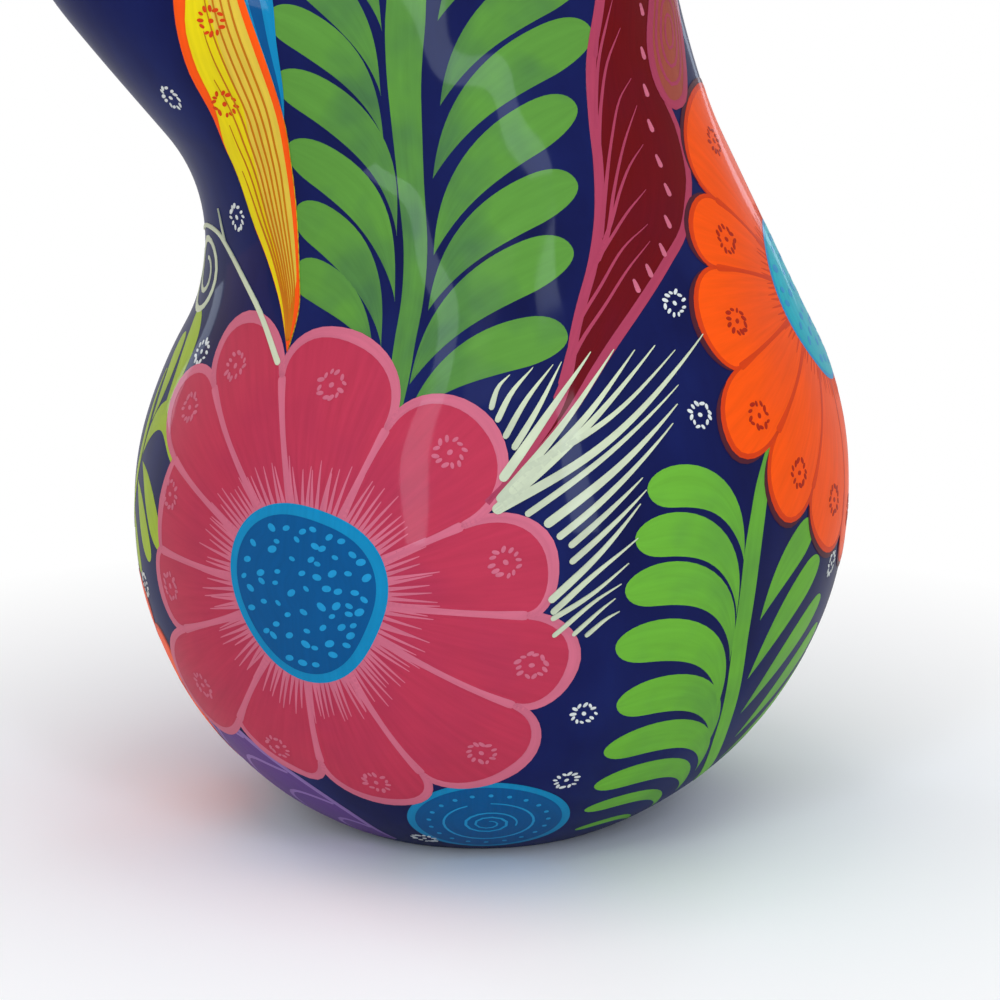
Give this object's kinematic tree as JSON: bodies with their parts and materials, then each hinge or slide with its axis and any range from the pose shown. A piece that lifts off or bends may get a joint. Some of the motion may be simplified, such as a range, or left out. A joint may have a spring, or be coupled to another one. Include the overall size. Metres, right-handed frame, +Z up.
{
  "type": "pitcher",
  "caption": "Terracotta pitcher with a ball-shaped belly, a narrow neck, a broad swept-out pouring beak and a loop handle, painted all over",
  "frame": {"origin": "centre of the flat foot, on the surface the pitcher stands on", "axes": "+Z up, -X towards the pouring beak, +X towards the handle, +Y completes the right-handed set; the pitcher is the same on both sides of the plane y = 0"},
  "size_m": [0.265, 0.1808, 0.3125],
  "materials": {
    "cobalt_paint": "gloss varnish over painted motifs",
    "bare_terracotta": "matt",
    "slip_coil": "matt",
    "pink_paint": "gloss varnish over brushed paint",
    "rose_paint": "gloss varnish over brushed paint",
    "crimson_paint": "gloss varnish over brushed paint",
    "orange_paint": "gloss varnish over brushed paint",
    "yellow_paint": "gloss varnish over brushed paint",
    "green_paint": "gloss varnish over brushed paint",
    "blue_paint": "gloss varnish over brushed paint",
    "cream_paint": "gloss varnish over brushed paint",
    "purple_paint": "gloss varnish over brushed paint"
  },
  "bodies": {
    "root": {"base_disc": "bare_terracotta", "lower_belly": "cobalt_paint", "belly_seam_coil": "slip_coil", "upper_belly": "cobalt_paint", "neck_seam_coil": "slip_coil", "neck": "cobalt_paint", "beak": "cobalt_paint", "rim_roll": "cobalt_paint", "handle": "cobalt_paint"}
  },
  "joints": []
}
